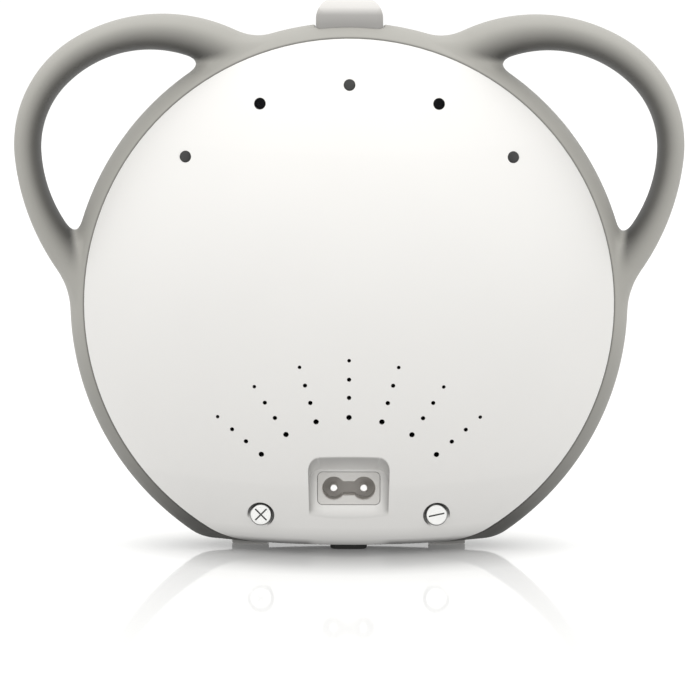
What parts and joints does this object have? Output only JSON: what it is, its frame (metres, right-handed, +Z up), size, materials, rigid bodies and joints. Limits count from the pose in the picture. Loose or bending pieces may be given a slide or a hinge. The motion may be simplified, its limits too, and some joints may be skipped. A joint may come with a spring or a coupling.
{
  "type": "nasal aspirator",
  "caption": "Main unit of an electric nasal aspirator: round domed housing on a flat base, ear-shaped carrying loops, top button, mains inlet, suction dial and hose spigot.",
  "frame": {"origin": "on the floor under the middle of the whole unit", "axes": "+Z up, suction dial and hose spigot towards -Y, mains inlet towards +Y, ear loops along X"},
  "size_m": [0.1952, 0.1, 0.1603],
  "materials": {
    "white_shell": "satin",
    "warm_grey_band": "soft touch, matt",
    "button_white": "satin",
    "seam_grey": "matt",
    "foot_rubber": "matt",
    "plug_grey": "matt",
    "screw_steel": "bright zinc",
    "inlet_plastic": "satin",
    "liner_grey": "matt",
    "contact_metal": "nickel plated",
    "wire_insulation": "matt",
    "dial_grey": "soft touch, matt",
    "mark_grey": "matt",
    "pointer_grey": "matt",
    "acetal": "natural",
    "dark_acetal": "matt",
    "clear_plastic": "clear",
    "circuit_board": "solder mask",
    "component_black": "potted",
    "steel": "plain",
    "magnet": "sintered",
    "silicone": "translucent",
    "brass": "turned",
    "foam": "open cell",
    "dial_grey_hard": "satin"
  },
  "bodies": {
    "root": {"rear_shell": "white_shell", "ear_frame": "warm_grey_band", "front_shell": "white_shell", "rear_seam_gasket": "seam_grey", "front_seam_gasket": "seam_grey", "rubber_feet": "foot_rubber", "hole_plugs": "plug_grey", "well_screws": "steel", "cross_screw": "screw_steel", "slot_screw": "screw_steel", "inlet_housing": "inlet_plastic", "inlet_liner": "liner_grey", "inlet_pins": "contact_metal", "internal_wires": "wire_insulation", "button_spring": "steel", "power_switch": "component_black", "level_dots": "mark_grey", "dial_bezel": "mark_grey", "dial_bush": "acetal", "bleed_valve_body": "dark_acetal", "valve_screws": "steel", "light_pipe": "clear_plastic", "light_board": "circuit_board", "hose_spigot": "dial_grey_hard", "spigot_seal": "plug_grey", "spigot_nut": "brass", "chassis": "dark_acetal", "power_board": "circuit_board", "transformer": "component_black", "capacitors": "component_black", "motor_can": "steel", "motor_magnets": "magnet", "motor_bearings": "brass", "motor_saddle": "foot_rubber", "motor_strap": "steel", "pump_housing": "dark_acetal", "diaphragm": "foot_rubber", "valve_plate": "acetal", "valve_flaps": "silicone", "pump_head": "dark_acetal", "head_bolts": "steel", "silicone_tubes": "silicone", "tee_connector": "acetal", "filter_housing": "clear_plastic", "filter_disc": "foam", "exhaust_muffler": "dark_acetal", "muffler_foam": "foam"},
    "button": {"power_button": "button_white", "switch_plunger": "acetal"},
    "dial": {"dial_grip": "dial_grey", "dial_cap": "button_white", "dial_pointer": "pointer_grey", "dial_shaft": "steel", "bleed_valve_rotor": "acetal"},
    "rotor": {"motor_shaft": "steel", "motor_rotor": "steel", "cooling_fan": "dark_acetal", "eccentric": "brass", "eccentric_bearing": "steel"},
    "yoke": {"yoke": "acetal"}
  },
  "joints": [
    {"name": "button_press", "type": "slide", "parent": "root", "child": "button", "axis": [0, 0, -1], "range_m": [0, 0.0022], "stiffness_N_per_m": 400, "springref_m": -0.002, "deforming": ["button_spring"]},
    {"name": "dial_turn", "type": "hinge", "parent": "root", "child": "dial", "pos_m": [0, -0.036, 0.0715], "axis": [0, 1, 0], "range_deg": [0, 270]},
    {"name": "motor_spin", "type": "hinge", "parent": "root", "child": "rotor", "pos_m": [0.008, -0.007, 0.0445], "axis": [1, 0, 0], "continuous": true},
    {"name": "yoke_stroke", "type": "slide", "parent": "root", "child": "yoke", "axis": [0, 0, 1], "range_m": [-0.0008, 0.0008], "stiffness_N_per_m": 2000, "deforming": ["diaphragm"]}
  ]
}
